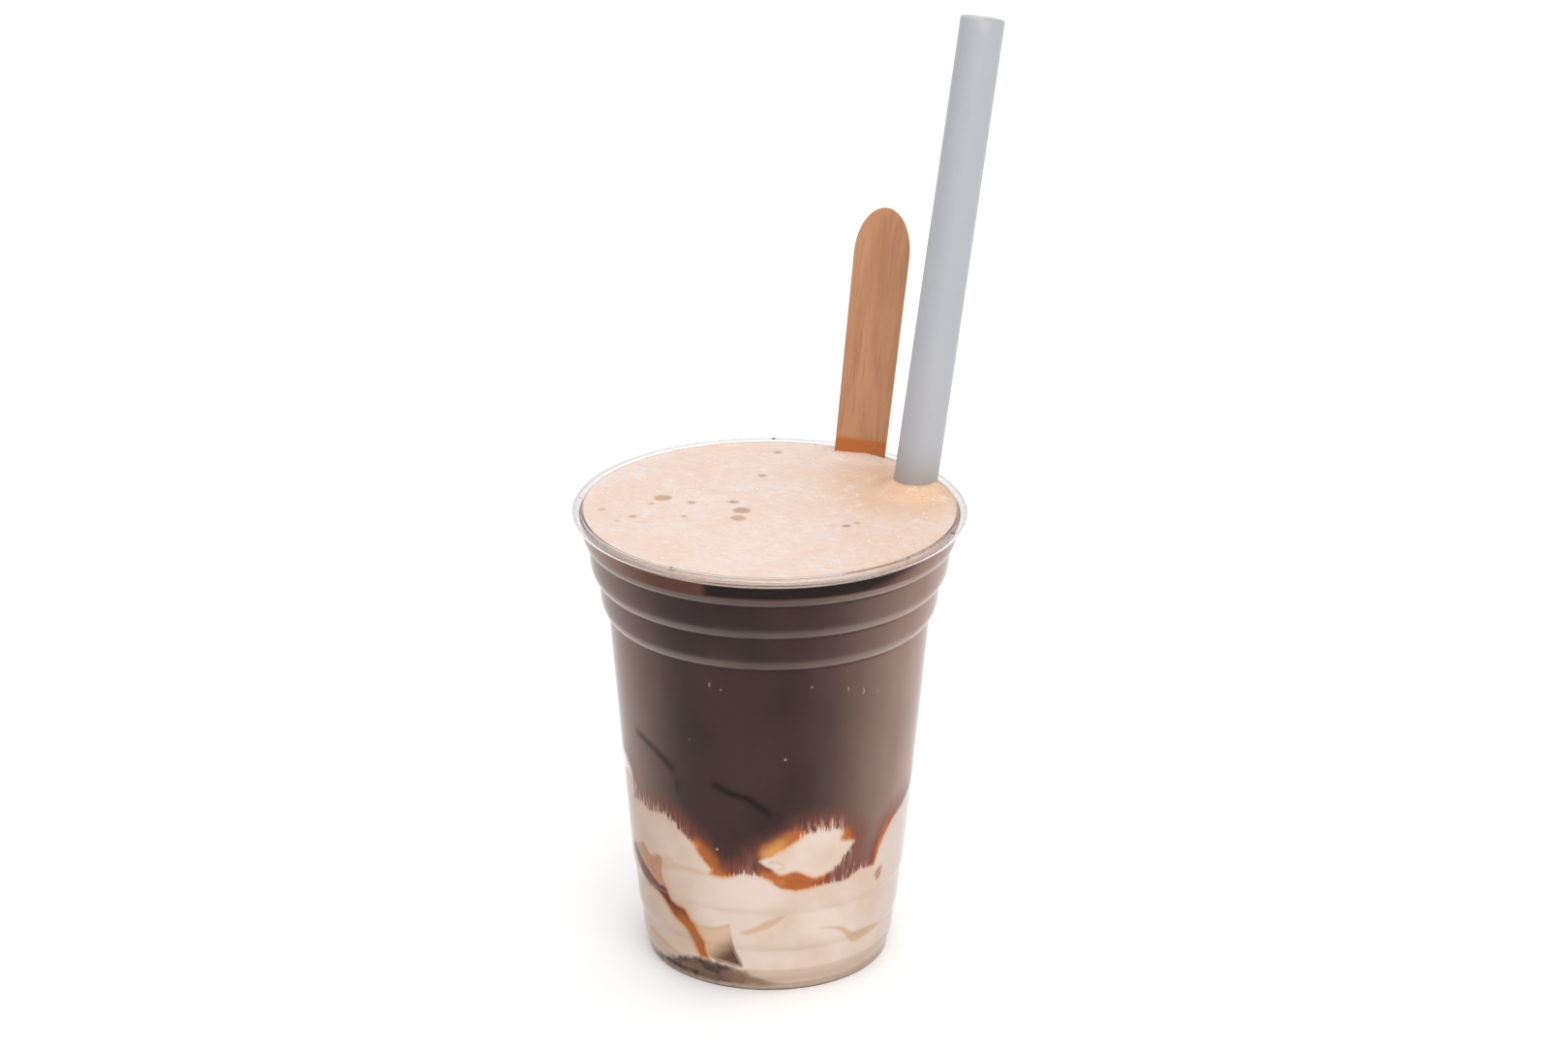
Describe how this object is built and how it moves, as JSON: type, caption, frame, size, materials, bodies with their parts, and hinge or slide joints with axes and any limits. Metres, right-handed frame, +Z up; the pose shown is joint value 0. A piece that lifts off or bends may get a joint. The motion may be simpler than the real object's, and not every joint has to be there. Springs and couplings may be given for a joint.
{
  "type": "affogato in a clear plastic cup",
  "caption": "Affogato in a clear ribbed plastic cup: ice cream at the foot, coffee, a foam cap, a wide straw and a flat wooden stirring stick.",
  "frame": {"origin": "middle of the cup's underside, on the recessed panel inside its foot ring", "axes": "+Z up along the cup's axis, -Y towards the front, +X to the right as seen from the front"},
  "size_m": [0.106, 0.1013, 0.2354],
  "materials": {
    "clear_plastic": "clear thin moulded plastic, glossy",
    "ice_cream": "soft, moist, stained by coffee where it is thinly covered",
    "coffee": "dark liquid, nearly black-brown",
    "foam": "fine pale coffee foam with small bubbles",
    "straw_plastic": "satin pale blue-grey plastic",
    "birch": "unvarnished flat birch, wet near the foam"
  },
  "bodies": {
    "root": {"cup": "clear_plastic", "ice_cream": "ice_cream", "coffee": "coffee", "foam": "foam", "straw": "straw_plastic", "stick": "birch"}
  },
  "joints": []
}
